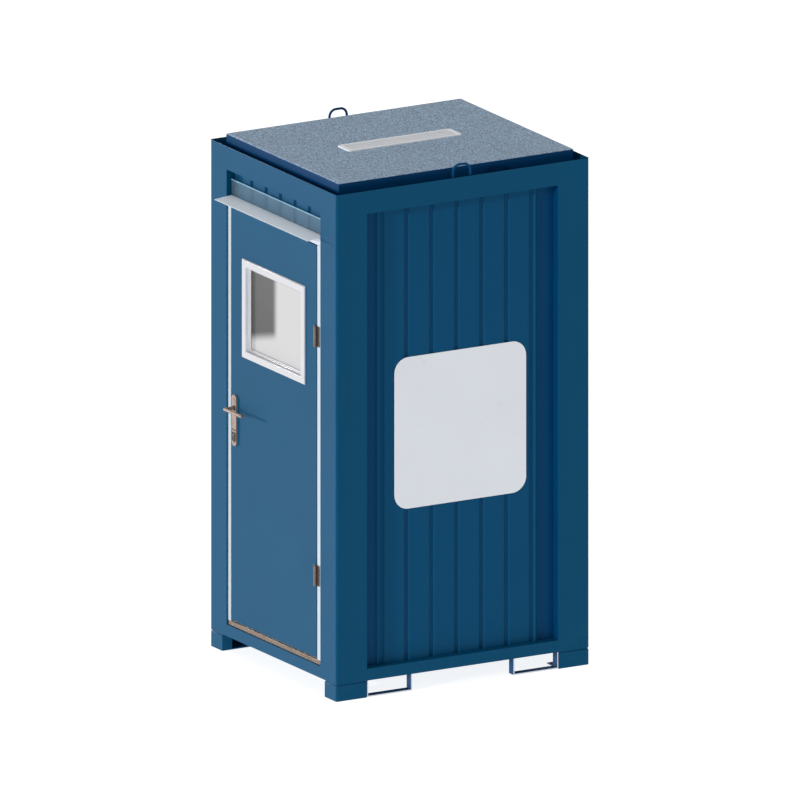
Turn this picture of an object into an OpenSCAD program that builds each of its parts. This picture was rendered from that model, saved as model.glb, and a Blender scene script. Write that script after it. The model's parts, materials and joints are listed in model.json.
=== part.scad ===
// Sanitary cabin: a one-door toilet cabin in a folded steel frame, on four
// feet with fork pockets, lifted by two eyes at its roof.
// Millimetres. +X is the hinge side, -Y the door side, +Z up. The origin is on
// the ground, at the middle of the cabin's overall box.

/* [Frame] */
// Width of the frame across the door side
frame_w = 1200; // [1190:10:2400]
// Depth of the frame from the door side to the back
frame_d = 1390; // [1300:10:3000]
// Height of the frame's top edge above the ground
frame_h = 2498; // [2490:1:3200]
// Width of a corner post seen from the front or the back
post_w = 155; // [100:1:155]
// Width of a corner post seen from the side
post_l = 170; // [120:1:200]
// Thickness of a corner post's two legs
post_t = 50; // [30:1:70]
// Height of the bottom rails
bottom_rail_h = 58; // [40:1:100]
// Height of the top rails, with their lip
top_rail_h = 114; // [90:1:160]
// How far the rails reach inward past the walls' inner faces
rail_ledge = 30; // [20:1:60]
// Thickness of the top rails' upstanding lip
lip_t = 6; // [3:0.5:10]
// Depth of the gutter behind the lip
gutter_depth = 40; // [20:1:60]

/* [Feet and fork pockets] */
// Height of the feet
foot_h = 83; // [70:1:150]
// Width of a foot seen from the front or the back
foot_w = 113; // [80:1:150]
// Length of a foot along the side
foot_l = 168; // [120:1:170]
// Thickness of the feet's plates
foot_plate_t = 6; // [3:0.5:10]
// Length of the flange turned in at a foot's open end
foot_flange_l = 55; // [30:1:100]
// Height of the narrow neck between a foot and the frame
foot_neck_h = 6; // [2:1:12]
// How far the neck is set back from a foot's faces
foot_neck_inset = 4; // [2:1:10]
// Outer length of a fork pocket's strap along the side
pocket_l = 246; // [180:1:320]
// Distance from the frame's front or back face to the nearer pocket
pocket_offset = 170; // [170:1:260]
// Width of a fork pocket's strap
strap_w = 44; // [30:1:80]
// Thickness of a fork pocket's strap
strap_t = 5; // [3:0.5:10]
// Height of the straps' underside above the ground
strap_clearance = 3; // [2:1:20]

/* [Lifting eyes] */
// Diameter of a lifting eye's bar
eye_bar_d = 12; // [8:1:20]
// Distance between the centre lines of a lifting eye's two legs
eye_span = 95; // [70:1:140]
// Radius of the bend in a lifting eye's bar, at its centre line
eye_bend_r = 35; // [20:1:35]
// Height of a lifting eye above the frame's top edge
eye_rise = 65; // [50:1:120]
// Gap between a lifting eye and the rail's lip
eye_gap = 0.4; // [0.2:0.1:3]

/* [Walls and floor] */
// Thickness of the insulated wall panels
wall_t = 40; // [30:1:60]
// Distance from groove to groove in the outer skin
groove_pitch = 137.3; // [100:0.1:200]
// Width of a groove at its mouth
groove_mouth_w = 30; // [20:1:40]
// Width of a groove at its bottom
groove_floor_w = 12; // [6:1:18]
// Height of the raised skin between the grooves
skin_rise = 10; // [5:0.5:20]
// Width of the flat strip between the raised skin and a side wall's posts
side_strip_w = 80; // [20:1:120]
// How far the side walls' groove pattern is shifted towards the back
side_groove_shift = -10; // [-20:1:20]
// Height of the floor's surface above the bottom rails
floor_rise = 20; // [10:1:40]
// How far the insulated floor reaches down between the rails
floor_drop = 46; // [20:1:55]

/* [Roof] */
// Distance from the frame's outer side face to the roof cap
roof_inset_x = 64; // [50:1:90]
// Distance from the frame's outer front face to the roof cap
roof_inset_y = 50; // [45:1:90]
// Height of the roof cap above the frame's top edge
roof_rise = 37; // [20:1:60]
// Chamfer along the roof cap's top edges
roof_edge = 4; // [1:0.5:15]
// How far the ceiling reaches down between the rails
ceiling_drop = 58; // [20:1:70]
// Length of the roof vent, front to back
vent_l = 622; // [300:1:800]
// Width of the roof vent
vent_w = 121; // [80:1:200]
// Height of the roof vent above the roof
vent_t = 6; // [4:0.5:12]
// Radius of the roof vent's corners
vent_corner_r = 14; // [5:1:30]
// Distance from slot to slot in the roof vent
vent_pitch = 14; // [10:1:30]
// Width of a slot in the roof vent
vent_slot_w = 8; // [4:0.5:9]
// Width of the roof vent's plain rim
vent_rim = 14; // [12:1:20]
// Depth of the roof vent's slots
vent_slot_depth = 4; // [2:0.5:4]

/* [Door] */
// Width of the door leaf
leaf_w = 811; // [640:1:811]
// Height of the door leaf
leaf_h = 2032; // [1900:1:2040]
// Thickness of the door leaf
leaf_t = 40; // [30:1:42]
// How far the leaf's middle is shifted towards the hinge side
leaf_shift = -5.5; // [-10:0.5:0]
// How far the leaf and the door frame lie behind the frame's front face
leaf_recess = 7; // [6:0.5:12]
// Gap between the leaf and the door frame at the top, and at its stops
leaf_gap = 5; // [5:0.5:8]
// Gap between the leaf and the hinge jamb
hinge_gap = 5; // [5:0.5:8]
// Gap between the leaf and the latch jamb
latch_gap = 7; // [6.5:0.5:10]
// Gap between the leaf and the sill
sill_gap = 6; // [5:0.5:12]
// Height of the sill above the bottom rail
sill_h = 24; // [22:1:40]
// Width of the jamb on the hinge side
hinge_jamb_w = 40; // [25:1:40]
// Width of the jamb on the latch side
latch_jamb_w = 27; // [20:1:27]
// Height of the door head
head_h = 35; // [25:1:50]
// How far the stops stand inside the jambs
stop_w = 15; // [10:1:25]

/* [Door window] */
// Outer width of the window frame
window_w = 592; // [400:1:600]
// Outer height of the window frame
window_h = 482; // [300:1:600]
// Height of the window frame's lower edge above the ground
window_z = 1494; // [1400:1:1550]
// Width of the window frame's visible border
window_border = 33; // [25:1:45]
// How far the window frame covers the leaf around its hole
window_lap = 16; // [8:1:20]
// How far the window frame stands proud of the leaf, outside and inside
window_proud = 7; // [3:0.5:10]
// Depth from the window frame's face to its glazing bead
bead_depth = 21; // [10:1:22]
// Width of the glazing bead
bead_w = 12; // [6:1:16]
// Thickness of the glazing bead
bead_t = 5; // [3:0.5:6]
// Thickness of the pane
pane_t = 6; // [4:0.5:8]
// Clearance around the pane and around the window frame in the leaf
window_play = 0.4; // [0.2:0.1:1]

/* [Hinges] */
// Length of a hinge
hinge_l = 100; // [80:1:160]
// Outer diameter of the hinge knuckles
knuckle_d = 18; // [14:0.5:22]
// Diameter of the hinge pins
hinge_pin_d = 8; // [5:0.5:10]
// Clearance around the hinge pin, on the radius
hinge_pin_play = 0.3; // [0.2:0.05:0.6]
// Gap between two knuckles, and between a knuckle and the leaf's face
knuckle_gap = 0.5; // [0.3:0.1:1]
// Thickness of the hinge flaps
flap_t = 4; // [3:0.5:5]
// How far a hinge flap reaches from the pin
flap_reach = 27; // [22:1:32]
// Gap between a flap and the other half's knuckles
flap_gap = 3; // [2:0.5:6]
// Height of the lower hinge's middle above the ground
hinge_low_z = 579; // [400:1:700]
// Height of the upper hinge's middle above the ground
hinge_high_z = 1758; // [1600:1:1900]

/* [Handle] */
// Width of the handle plates
plate_w = 43; // [34:1:60]
// Height of the handle plates
plate_h = 253; // [200:1:300]
// Thickness of the handle plates
plate_t = 9; // [4:0.5:12]
// Distance from the leaf's latch edge to the lever's spindle
backset = 37; // [32:1:60]
// Height of the handle plates' lower end above the ground
plate_z = 1037; // [900:1:1100]
// Height of the spindle above the plates' lower end
spindle_rise = 188; // [150:1:200]
// Height of the lock cylinder above the plates' lower end
lock_rise = 52; // [40:1:80]
// Diameter of the spindle
spindle_d = 10; // [8:0.5:14]
// Clearance around the spindle, on the radius
spindle_play = 0.5; // [0.3:0.1:1]
// Diameter of the lever's bar and neck
lever_d = 17; // [12:0.5:20]
// Distance from the leaf's face to the lever's centre line
lever_stand_off = 58; // [45:1:60]
// Length of the lever from the spindle's axis to its rounded end
lever_l = 163; // [110:1:180]
// Diameter of the lock cylinder's round part
lock_d = 17; // [15:0.5:20]
// Height of the lock cylinder's whole face
lock_h = 33; // [28:0.5:36]
// Width of the lock cylinder's flat part
lock_flat_w = 10; // [8:0.5:12]
// How far the lock cylinder stands proud of the handle plates
lock_proud = 2; // [1:0.5:4]
// Clearance around the lock cylinder
lock_play = 0.3; // [0.1:0.1:0.6]

/* [Canopy] */
// How far the canopy reaches in front of the frame
canopy_out = 69; // [69:1:250]
// Thickness of the canopy sheet
canopy_t = 3; // [2:0.5:6]
// Height of the canopy's underside above the door head, at its back edge
canopy_rise = 10; // [5:1:40]
// Fall of the canopy from its back edge to its front edge
canopy_fall = 9; // [4:1:9]
// Gap between the canopy's ends and the posts
canopy_end_gap = 2; // [1:1:10]
// Thickness of the clear screen above the canopy
screen_t = 6; // [3:0.5:10]
// Distance from the frame's front face to the clear screen
screen_recess = 25; // [10:1:30]
// Height of the clear screen above the door head
screen_h = 92; // [60:1:120]

/* [Blank plate] */
// Width of the blank plate on the hinge-side wall
sign_w = 724; // [400:1:760]
// Height of the blank plate
sign_h = 747; // [400:1:1200]
// Thickness of the blank plate
sign_t = 3; // [1:0.5:6]
// Height of the blank plate's lower edge above the ground
sign_z = 890; // [600:1:1200]
// How far the blank plate's middle lies behind the wall's middle
sign_shift = 8; // [-20:1:20]
// Radius of the blank plate's corners
sign_corner_r = 76; // [5:1:180]

/* [Hidden] */
$fn = 64;

half_w = frame_w / 2;
half_d = frame_d / 2;

// Along Y the cabin is drawn about the frame's middle and moved here, so that
// the canopy's overhang is shared by the overall box.
front_reach = max(canopy_out, lever_stand_off + lever_d / 2 - leaf_recess);
frame_y = front_reach / 2;

// Levels
rail_z = foot_h;
post_z = foot_h + bottom_rail_h;
top_rail_z = frame_h - top_rail_h;
gutter_z = frame_h - gutter_depth;
roof_z = frame_h + roof_rise;
floor_z = post_z + floor_rise;
sill_z = post_z + sill_h;
leaf_z = sill_z + sill_gap;
leaf_top = leaf_z + leaf_h;
head_z = leaf_top + leaf_gap;
head_top = head_z + head_h;
eye_top = frame_h + eye_rise;

// Wall faces, measured inward from the frame's outer faces
wall_in = post_t + wall_t;
rail_in = wall_in + rail_ledge;
room_x = half_w - wall_in;

// Half the opening between the corner posts, seen from the front or the back
between_posts = half_w - post_w;

// Depths of the front, on the frame's own Y axis
front_y = -half_d;
leaf_y = front_y + leaf_recess;
leaf_back = leaf_y + leaf_t;
stop_y = leaf_back + leaf_gap;
inner_y = front_y + wall_in;

// The doorway
leaf_x0 = leaf_shift - leaf_w / 2;
leaf_x1 = leaf_shift + leaf_w / 2;
latch_jamb_x = leaf_x0 - latch_gap;
hinge_jamb_x = leaf_x1 + hinge_gap;
door_x0 = latch_jamb_x - latch_jamb_w;
door_x1 = hinge_jamb_x + hinge_jamb_w;

// Door window
window_x = leaf_shift;
window_mid_z = window_z + window_h / 2;
hole_w = window_w - 2 * window_lap;
hole_h = window_h - 2 * window_lap;
sight_w = window_w - 2 * window_border;
sight_h = window_h - 2 * window_border;
window_y = leaf_y - window_proud;
bead_y = window_y + bead_depth;
pane_y = bead_y + bead_t;
trim_y = pane_y + pane_t;

// Hinges
hinge_x = leaf_x1 + hinge_gap / 2;
hinge_y = leaf_y - knuckle_gap - knuckle_d / 2;
knuckle_l = (hinge_l - 2 * knuckle_gap) / 3;

// Handle
spindle_x = leaf_x0 + backset;
spindle_z = plate_z + spindle_rise;
lock_z = plate_z + lock_rise;
lever_front_y = leaf_y - lever_stand_off;
lever_back_y = leaf_back + lever_stand_off;
sphere_fn = 48;

// The canopy's back edge lies against the clear screen.
screen_y = front_y + screen_recess;
canopy_back_z = head_top + canopy_rise;
canopy_front_z = canopy_back_z - canopy_fall;

// A box between two corners, on the frame's own Y axis
module block(low, high) {
    translate([low[0], low[1] + frame_y, low[2]])
        cube(high - low);
}

// Moves an outline drawn on the frame's own axes to its place, as a prism
module prism(z0, z1) {
    translate([0, frame_y, z0])
        linear_extrude(height = z1 - z0)
            children();
}

// Draws a front right corner's piece at the corner of a side and an end.
// side is 1 on the right and -1 on the left; end is 1 at the front, -1 at the back.
module at_corner(side, end) {
    translate([0, frame_y, 0])
        mirror([side < 0 ? 1 : 0, 0, 0])
            mirror([0, end < 0 ? 1 : 0, 0])
                translate([0, -frame_y, 0])
                    children();
}

// --- Feet: a base plate, two outer walls, a turned-in flange and a neck ---

module foot() {
    x0 = half_w - foot_w;
    wall_top = foot_h - foot_neck_h;
    color("steelblue") {
        block([x0, front_y, 0], [half_w, front_y + foot_l, foot_plate_t]);
        block([x0, front_y, 0], [half_w, front_y + foot_plate_t, wall_top]);
        block([half_w - foot_plate_t, front_y, 0], [half_w, front_y + foot_l, wall_top]);
        block([x0, front_y, 0], [x0 + foot_plate_t, front_y + foot_flange_l, wall_top]);
        block([x0, front_y, wall_top - foot_plate_t], [half_w, front_y + foot_l, wall_top]);
        block(
            [x0, front_y + foot_neck_inset, wall_top - foot_plate_t],
            [half_w - foot_neck_inset, front_y + foot_l, foot_h]
        );
    }
}

module foot_front_left() { at_corner(-1, 1) foot(); }
module foot_front_right() { at_corner(1, 1) foot(); }
module foot_back_left() { at_corner(-1, -1) foot(); }
module foot_back_right() { at_corner(1, -1) foot(); }

// --- Rails: four mitred lengths at the bottom and four at the top ---

// Outline of a mitred front length, reaching a given distance inward
module front_length(reach) {
    polygon([
        [-half_w, -half_d], [half_w, -half_d],
        [half_w - reach, -half_d + reach], [-half_w + reach, -half_d + reach]
    ]);
}

// Outline of a mitred right-hand length
module right_length(reach) {
    polygon([
        [half_w, -half_d], [half_w, half_d],
        [half_w - reach, half_d - reach], [half_w - reach, -half_d + reach]
    ]);
}

module front_bottom_rail() {
    color("steelblue")
        prism(rail_z, post_z) front_length(rail_in);
}

module right_bottom_rail() {
    color("steelblue")
        prism(rail_z, post_z) right_length(rail_in);
}

module front_top_rail() {
    color("steelblue") {
        prism(top_rail_z, gutter_z) front_length(rail_in);
        prism(top_rail_z, frame_h) front_length(lip_t);
    }
}

module right_top_rail() {
    color("steelblue") {
        prism(top_rail_z, gutter_z) right_length(rail_in);
        prism(top_rail_z, frame_h) right_length(lip_t);
    }
}

module bottom_rail_front() { front_bottom_rail(); }
module bottom_rail_back() { at_corner(1, -1) front_bottom_rail(); }
module bottom_rail_left() { at_corner(-1, 1) right_bottom_rail(); }
module bottom_rail_right() { right_bottom_rail(); }
module top_rail_front() { front_top_rail(); }
module top_rail_back() { at_corner(1, -1) front_top_rail(); }
module top_rail_left() { at_corner(-1, 1) right_top_rail(); }
module top_rail_right() { right_top_rail(); }

// --- Fork pockets: U straps hung under the side rails ---

module fork_strap(y0) {
    x0 = half_w - strap_w;
    y1 = y0 + pocket_l;
    block([x0, y0, strap_clearance], [half_w, y1, strap_clearance + strap_t]);
    block([x0, y0, strap_clearance], [half_w, y0 + strap_t, rail_z]);
    block([x0, y1 - strap_t, strap_clearance], [half_w, y1, rail_z]);
}

module fork_straps() {
    color("steelblue") {
        fork_strap(front_y + pocket_offset);
        fork_strap(half_d - pocket_offset - pocket_l);
    }
}

module fork_straps_left() { at_corner(-1, 1) fork_straps(); }
module fork_straps_right() { fork_straps(); }

// --- Corner posts: two legs at a right angle ---

module corner_post() {
    color("steelblue")
        prism(post_z, top_rail_z)
            polygon([
                [half_w, -half_d], [half_w, -half_d + post_l],
                [half_w - post_t, -half_d + post_l], [half_w - post_t, -half_d + post_t],
                [half_w - post_w, -half_d + post_t], [half_w - post_w, -half_d]
            ]);
}

module post_front_left() { at_corner(-1, 1) corner_post(); }
module post_front_right() { at_corner(1, 1) corner_post(); }
module post_back_left() { at_corner(-1, -1) corner_post(); }
module post_back_right() { at_corner(1, -1) corner_post(); }

// --- Lifting eyes: a bent bar standing in the gutter of each side rail ---

module lifting_eye() {
    x = half_w - lip_t - eye_gap - eye_bar_d / 2;
    bar_z = eye_top - eye_bar_d / 2;
    leg_h = bar_z - eye_bend_r - gutter_z;
    straight = eye_span / 2 - eye_bend_r;
    color("steelblue")
        translate([x, frame_y, 0]) {
            for (side = [-1, 1]) {
                translate([0, side * eye_span / 2, gutter_z])
                    cylinder(d = eye_bar_d, h = leg_h);
                translate([0, side * straight, bar_z - eye_bend_r])
                    rotate([90, 0, side * 90])
                        rotate_extrude(angle = 90)
                            translate([eye_bend_r, 0])
                                circle(d = eye_bar_d);
            }
            translate([0, -straight, bar_z])
                rotate([-90, 0, 0])
                    cylinder(d = eye_bar_d, h = 2 * straight);
        }
}

module lifting_eye_left() { at_corner(-1, 1) lifting_eye(); }
module lifting_eye_right() { lifting_eye(); }

// --- Insulated wall panels with a grooved outer skin ---

// Points across one groove in the raised skin, centred on c
function groove_points(c) = [
    [c - groove_mouth_w / 2, skin_rise], [c - groove_floor_w / 2, 0],
    [c + groove_floor_w / 2, 0], [c + groove_mouth_w / 2, skin_rise]
];

// Outline of a panel of a given length, seen from above: X runs along the
// panel and +Y points outward. The skin is raised over half_raised each way.
module panel_outline(length, half_raised, shift) {
    flank = (groove_mouth_w - groove_floor_w) / 2;
    count = floor((half_raised - flank - groove_mouth_w / 2) / groove_pitch);
    polygon(concat(
        [[-length / 2, 0], [shift - half_raised, 0], [shift - half_raised + flank, skin_rise]],
        [for (k = [-count : count]) each groove_points(shift + k * groove_pitch)],
        [[shift + half_raised - flank, skin_rise], [shift + half_raised, 0], [length / 2, 0]],
        [[length / 2, -wall_t], [-length / 2, -wall_t]]
    ));
}

module right_wall() {
    half_raised = half_d - post_l - side_strip_w;
    color("royalblue")
        translate([half_w - post_t, frame_y, post_z])
            rotate([0, 0, -90])
                linear_extrude(height = top_rail_z - post_z)
                    panel_outline(frame_d - 2 * post_t, half_raised, -side_groove_shift);
}

module wall_left() { at_corner(-1, 1) right_wall(); }
module wall_right() { right_wall(); }

module wall_back() {
    color("royalblue")
        translate([0, half_d - post_t + frame_y, post_z])
            linear_extrude(height = top_rail_z - post_z)
                panel_outline(2 * room_x, between_posts, 0);
}

module transom_panel() {
    color("royalblue")
        translate([0, front_y + post_t + frame_y, head_top])
            mirror([0, 1, 0])
                linear_extrude(height = top_rail_z - head_top)
                    panel_outline(2 * room_x, between_posts, 0);
}

// Front panel between two places along X, notched round the door head and sill
module front_panel(x0, x1) {
    color("gainsboro")
        difference() {
            block([x0, front_y + post_t, post_z], [x1, inner_y, head_top]);
            head_bar();
            sill_bar();
        }
}

module front_panel_left() { front_panel(-room_x, door_x0); }
module front_panel_right() { front_panel(door_x1, room_x); }

// --- Floor and roof: panels that rest on the rails and reach down between them ---

module floor_panel() {
    color("slategray") {
        block([-room_x, inner_y, post_z], [room_x, -inner_y, floor_z]);
        block(
            [-half_w + rail_in, -half_d + rail_in, post_z - floor_drop],
            [half_w - rail_in, half_d - rail_in, floor_z]
        );
    }
}

// Side view of the roof cap with chamfered top edges
module cap_profile(half) {
    polygon([
        [-half, gutter_z], [half, gutter_z], [half, roof_z - roof_edge],
        [half - roof_edge, roof_z], [-half + roof_edge, roof_z], [-half, roof_z - roof_edge]
    ]);
}

module roof_panel() {
    cap_x = half_w - roof_inset_x;
    cap_y = half_d - roof_inset_y;
    color("lightslategray") {
        translate([0, frame_y, 0])
            intersection() {
                translate([0, cap_y, 0])
                    rotate([90, 0, 0])
                        linear_extrude(height = 2 * cap_y)
                            cap_profile(cap_x);
                translate([-cap_x, 0, 0])
                    rotate([90, 0, 90])
                        linear_extrude(height = 2 * cap_x)
                            cap_profile(cap_y);
            }
        block(
            [-half_w + rail_in, -half_d + rail_in, gutter_z - ceiling_drop],
            [half_w - rail_in, half_d - rail_in, gutter_z + roof_rise]
        );
    }
}

// Rectangle with round corners, centred on the origin
module rounded_rectangle(size, r) {
    square([size[0] - 2 * r, size[1]], center = true);
    square([size[0], size[1] - 2 * r], center = true);
    for (x = [-1, 1], y = [-1, 1])
        translate([x * (size[0] / 2 - r), y * (size[1] / 2 - r)])
            circle(r = r);
}

module roof_vent() {
    count = floor((vent_l - 2 * vent_rim - vent_slot_w) / vent_pitch / 2);
    color("white")
        difference() {
            prism(roof_z, roof_z + vent_t)
                rounded_rectangle([vent_w, vent_l], vent_corner_r);
            for (k = [-count : count])
                block(
                    [
                        -vent_w / 2 + vent_rim,
                        k * vent_pitch - vent_slot_w / 2,
                        roof_z + vent_t - vent_slot_depth
                    ],
                    [
                        vent_w / 2 - vent_rim,
                        k * vent_pitch + vent_slot_w / 2,
                        roof_z + 2 * vent_t
                    ]
                );
        }
}

// --- Door frame: two jambs and a head, each with a stop, and a sill ---

module jamb_latch_side() {
    color("white")
        prism(sill_z, head_z)
            polygon([
                [door_x0, leaf_y], [latch_jamb_x, leaf_y],
                [latch_jamb_x, stop_y], [latch_jamb_x + stop_w, stop_y],
                [latch_jamb_x + stop_w, inner_y], [door_x0, inner_y]
            ]);
}

module jamb_hinge_side() {
    color("white")
        prism(sill_z, head_z)
            polygon([
                [door_x1, leaf_y], [door_x1, inner_y],
                [hinge_jamb_x - stop_w, inner_y], [hinge_jamb_x - stop_w, stop_y],
                [hinge_jamb_x, stop_y], [hinge_jamb_x, leaf_y]
            ]);
}

// The head and the sill reach from post to post.
module head_bar() {
    block([-between_posts, leaf_y, head_z], [between_posts, inner_y, head_top]);
}

module sill_bar() {
    block([-between_posts, leaf_y, post_z], [between_posts, inner_y, sill_z]);
}

module door_head() {
    color("white") {
        head_bar();
        block(
            [latch_jamb_x + stop_w, stop_y, head_z - stop_w],
            [hinge_jamb_x - stop_w, inner_y, head_top]
        );
    }
}

module door_sill() {
    color("dimgray")
        sill_bar();
}

// --- Canopy and the clear screen that carries it between the posts ---

module canopy() {
    half = between_posts - canopy_end_gap;
    color("lightgray")
        translate([-half, frame_y, 0])
            rotate([90, 0, 90])
                linear_extrude(height = 2 * half)
                    polygon([
                        [front_y - canopy_out, canopy_front_z],
                        [screen_y, canopy_back_z],
                        [screen_y, canopy_back_z + canopy_t],
                        [front_y - canopy_out, canopy_front_z + canopy_t]
                    ]);
}

module canopy_screen() {
    color("lightblue", 0.4)
        block(
            [-between_posts, screen_y, head_top],
            [between_posts, screen_y + screen_t, head_top + screen_h]
        );
}

// --- Blank plate on the hinge-side wall's raised skin ---

module blank_plate() {
    color("whitesmoke")
        translate([half_w - post_t + skin_rise, frame_y + sign_shift, sign_z + sign_h / 2])
            rotate([90, 0, 90])
                linear_extrude(height = sign_t)
                    rounded_rectangle([sign_w, sign_h], sign_corner_r);
}

// --- Hinges: the frame's half holds the pin, the leaf's half turns on it ---

module knuckle(z, length) {
    translate([hinge_x, hinge_y + frame_y, z])
        cylinder(d = knuckle_d, h = length);
}

module hinge_frame_half(z) {
    low = z - hinge_l / 2;
    clear = knuckle_d / 2 + flap_gap;
    translate([hinge_x, hinge_y + frame_y, low])
        cylinder(d = hinge_pin_d, h = hinge_l);
    for (at = [low, low + hinge_l - knuckle_l]) {
        knuckle(at, knuckle_l);
        block([hinge_x, leaf_y - flap_t, at], [hinge_x + clear, leaf_y - knuckle_gap, at + knuckle_l]);
    }
    block([hinge_x + clear, leaf_y - flap_t, low], [hinge_x + flap_reach, leaf_y, low + hinge_l]);
}

module hinge_leaf_half(z) {
    low = z - hinge_l / 2;
    clear = knuckle_d / 2 + flap_gap;
    middle = low + knuckle_l + knuckle_gap;
    difference() {
        union() {
            knuckle(middle, knuckle_l);
            block(
                [hinge_x - clear, leaf_y - flap_t, middle],
                [hinge_x, leaf_y - knuckle_gap, middle + knuckle_l]
            );
            block([hinge_x - flap_reach, leaf_y - flap_t, low], [hinge_x - clear, leaf_y, low + hinge_l]);
        }
        translate([hinge_x, hinge_y + frame_y, low])
            cylinder(r = hinge_pin_d / 2 + hinge_pin_play, h = hinge_l);
    }
}

module hinge_frame_halves() {
    color("gray")
        for (z = [hinge_low_z, hinge_high_z]) hinge_frame_half(z);
}

module hinge_leaf_halves() {
    color("gray")
        for (z = [hinge_low_z, hinge_high_z]) hinge_leaf_half(z);
}

// --- Door leaf ---

// Solid of the lock cylinder's outline, grown all round by play
module lock_solid(y0, y1, play) {
    translate([spindle_x, y1 + frame_y, lock_z])
        rotate([90, 0, 0])
            linear_extrude(height = y1 - y0) {
                circle(d = lock_d + 2 * play);
                translate([-lock_flat_w / 2 - play, lock_d / 2 - lock_h - play])
                    square([lock_flat_w + 2 * play, lock_h - lock_d / 2 + play]);
            }
}

// Bore for the spindle
module spindle_bore(y0, y1) {
    translate([spindle_x, y0 + frame_y, spindle_z])
        rotate([-90, 0, 0])
            cylinder(r = spindle_d / 2 + spindle_play, h = y1 - y0);
}

// Rectangular block about the window's middle
module window_block(size_x, size_z, y0, y1) {
    block(
        [window_x - size_x / 2, y0, window_mid_z - size_z / 2],
        [window_x + size_x / 2, y1, window_mid_z + size_z / 2]
    );
}

module door_leaf() {
    color("steelblue")
        difference() {
            block([leaf_x0, leaf_y, leaf_z], [leaf_x1, leaf_back, leaf_top]);
            window_block(hole_w, hole_h, leaf_y - 1, leaf_back + 1);
            spindle_bore(leaf_y - 1, leaf_back + 1);
            lock_solid(leaf_y - 1, leaf_back + 1, lock_play);
        }
}

// --- Door window: an outer frame with its bead, the pane and an inner trim ---

module window_frame() {
    web_w = hole_w - 2 * window_play;
    web_h = hole_h - 2 * window_play;
    color("white")
        difference() {
            union() {
                window_block(window_w, window_h, window_y, leaf_y);
                window_block(web_w, web_h, window_y, trim_y);
            }
            window_block(sight_w - 2 * bead_w, sight_h - 2 * bead_w, window_y - 1, trim_y + 1);
            window_block(sight_w, sight_h, window_y - 1, bead_y);
            window_block(sight_w, sight_h, pane_y, trim_y + 1);
        }
}

module window_pane() {
    pane_w = sight_w - 2 * window_play;
    pane_h = sight_h - 2 * window_play;
    color("white", 0.6)
        window_block(pane_w, pane_h, pane_y, trim_y);
}

module window_trim() {
    web_w = hole_w - 2 * window_play;
    web_h = hole_h - 2 * window_play;
    color("white")
        difference() {
            union() {
                window_block(web_w, web_h, trim_y, leaf_back);
                window_block(window_w, window_h, leaf_back, leaf_back + window_proud);
            }
            window_block(
                sight_w - 2 * bead_w, sight_h - 2 * bead_w,
                trim_y - 1, leaf_back + window_proud + 1
            );
        }
}

// --- Handle: a long plate on each face, a lock cylinder and a lever ---

module handle_plate(y0) {
    difference() {
        translate([spindle_x, y0 + plate_t + frame_y, plate_z + plate_h / 2])
            rotate([90, 0, 0])
                linear_extrude(height = plate_t) {
                    square([plate_w, plate_h - plate_w], center = true);
                    for (end = [-1, 1])
                        translate([0, end * (plate_h - plate_w) / 2])
                            circle(d = plate_w);
                }
        spindle_bore(y0 - 1, y0 + plate_t + 1);
        lock_solid(y0 - 1, y0 + plate_t + 1, lock_play);
    }
}

module handle_plates() {
    color("rosybrown") {
        handle_plate(leaf_y - plate_t);
        handle_plate(leaf_back);
    }
}

module lock_cylinder() {
    color("dimgray")
        lock_solid(leaf_y - plate_t - lock_proud, leaf_back + plate_t + lock_proud, 0);
}

// One lever arm with its neck. y is the arm's centre line, and toward_leaf is
// 1 where the leaf lies behind it and -1 where it lies in front.
module lever_arm(y, toward_leaf) {
    neck_l = lever_stand_off - plate_t - spindle_play;
    translate([spindle_x, y + frame_y, spindle_z]) {
        sphere(d = lever_d, $fn = sphere_fn);
        rotate([-90 * toward_leaf, 0, 0])
            cylinder(d = lever_d, h = neck_l);
        rotate([0, 90, 0])
            cylinder(d = lever_d, h = lever_l - lever_d / 2);
        translate([lever_l - lever_d / 2, 0, 0])
            sphere(d = lever_d, $fn = sphere_fn);
    }
}

module door_lever() {
    color("rosybrown") {
        lever_arm(lever_front_y, 1);
        lever_arm(lever_back_y, -1);
        translate([spindle_x, lever_front_y + frame_y, spindle_z])
            rotate([-90, 0, 0])
                cylinder(d = spindle_d, h = lever_back_y - lever_front_y);
    }
}

foot_front_left();
foot_front_right();
foot_back_left();
foot_back_right();
bottom_rail_front();
bottom_rail_back();
bottom_rail_left();
bottom_rail_right();
fork_straps_left();
fork_straps_right();
post_front_left();
post_front_right();
post_back_left();
post_back_right();
top_rail_front();
top_rail_back();
top_rail_left();
top_rail_right();
lifting_eye_left();
lifting_eye_right();
wall_left();
wall_right();
wall_back();
front_panel_left();
front_panel_right();
transom_panel();
floor_panel();
roof_panel();
roof_vent();
jamb_latch_side();
jamb_hinge_side();
door_head();
door_sill();
canopy();
canopy_screen();
blank_plate();
hinge_frame_halves();
hinge_leaf_halves();
door_leaf();
window_frame();
window_trim();
window_pane();
handle_plates();
lock_cylinder();
door_lever();
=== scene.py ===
"""Looks of the single-door sanitary cabin: finishes, softened steel edges and small fittings.

Metres, in the CAD model's frame: +X is the hinge side, -Y the door side, +Z up.
"""

import json
import math

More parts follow.
